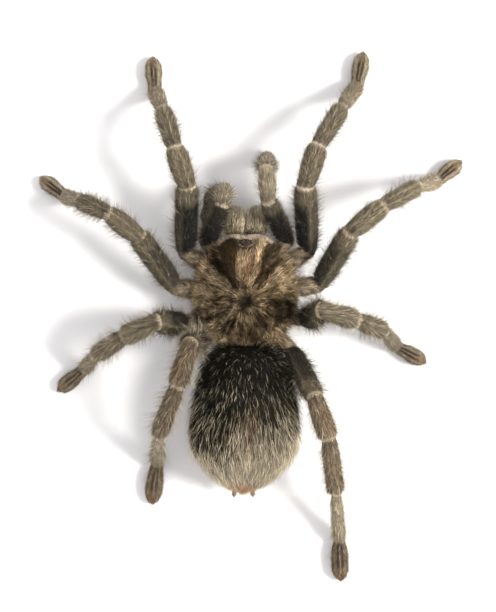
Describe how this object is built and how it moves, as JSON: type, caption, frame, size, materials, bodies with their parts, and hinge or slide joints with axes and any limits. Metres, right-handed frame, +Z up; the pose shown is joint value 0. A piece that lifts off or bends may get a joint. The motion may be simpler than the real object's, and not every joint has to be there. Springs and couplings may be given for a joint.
{
  "type": "brazilian black tarantula",
  "caption": "Life-size tarantula as a still display model, standing on bent hairy legs with a bronze carapace and a long-haired black abdomen.",
  "frame": {"origin": "the middle of the whole model's box, on the plane that it stands on", "axes": "+Z up, the head faces -Y, and the spider's left side is +X"},
  "size_m": [0.107, 0.1326, 0.03],
  "materials": {
    "dark_coat": "dense black hair with longer pale hairs",
    "grey_coat": "grey-brown hair with pale bands at the joints",
    "bronze_down": "short down with a golden sheen",
    "orange_down": "short orange-brown down",
    "skin": "soft matt skin with thin hair",
    "horn": "polished black horn",
    "eye": "glossy dark eye domes"
  },
  "bodies": {
    "root": {"leg_1_left_hip": "skin", "leg_1_left_femur": "dark_coat", "leg_1_left_patella": "grey_coat", "leg_1_left_tibia": "grey_coat", "leg_1_left_foot": "grey_coat", "leg_1_right_hip": "skin", "leg_1_right_femur": "dark_coat", "leg_1_right_patella": "grey_coat", "leg_1_right_tibia": "grey_coat", "leg_1_right_foot": "grey_coat", "leg_2_left_hip": "skin", "leg_2_left_femur": "dark_coat", "leg_2_left_patella": "grey_coat", "leg_2_left_tibia": "grey_coat", "leg_2_left_foot": "grey_coat", "leg_2_right_hip": "skin", "leg_2_right_femur": "dark_coat", "leg_2_right_patella": "grey_coat", "leg_2_right_tibia": "grey_coat", "leg_2_right_foot": "grey_coat", "leg_3_left_hip": "skin", "leg_3_left_femur": "dark_coat", "leg_3_left_patella": "grey_coat", "leg_3_left_tibia": "grey_coat", "leg_3_left_foot": "grey_coat", "leg_3_right_hip": "skin", "leg_3_right_femur": "dark_coat", "leg_3_right_patella": "grey_coat", "leg_3_right_tibia": "grey_coat", "leg_3_right_foot": "grey_coat", "leg_4_left_hip": "skin", "leg_4_left_femur": "dark_coat", "leg_4_left_patella": "grey_coat", "leg_4_left_tibia": "grey_coat", "leg_4_left_foot": "grey_coat", "leg_4_right_hip": "skin", "leg_4_right_femur": "dark_coat", "leg_4_right_patella": "grey_coat", "leg_4_right_tibia": "grey_coat", "leg_4_right_foot": "grey_coat", "palp_left_hip": "skin", "palp_left_femur": "dark_coat", "palp_left_patella": "grey_coat", "palp_left_foot": "grey_coat", "palp_right_hip": "skin", "palp_right_femur": "dark_coat", "palp_right_patella": "grey_coat", "palp_right_foot": "grey_coat", "carapace": "bronze_down", "eye_hill": "eye", "underbody": "skin", "chelicera_left": "grey_coat", "fang_left": "horn", "chelicera_right": "grey_coat", "fang_right": "horn", "pedicel": "skin", "abdomen": "dark_coat", "spinneret_left": "orange_down", "spinneret_right": "orange_down"}
  },
  "joints": []
}
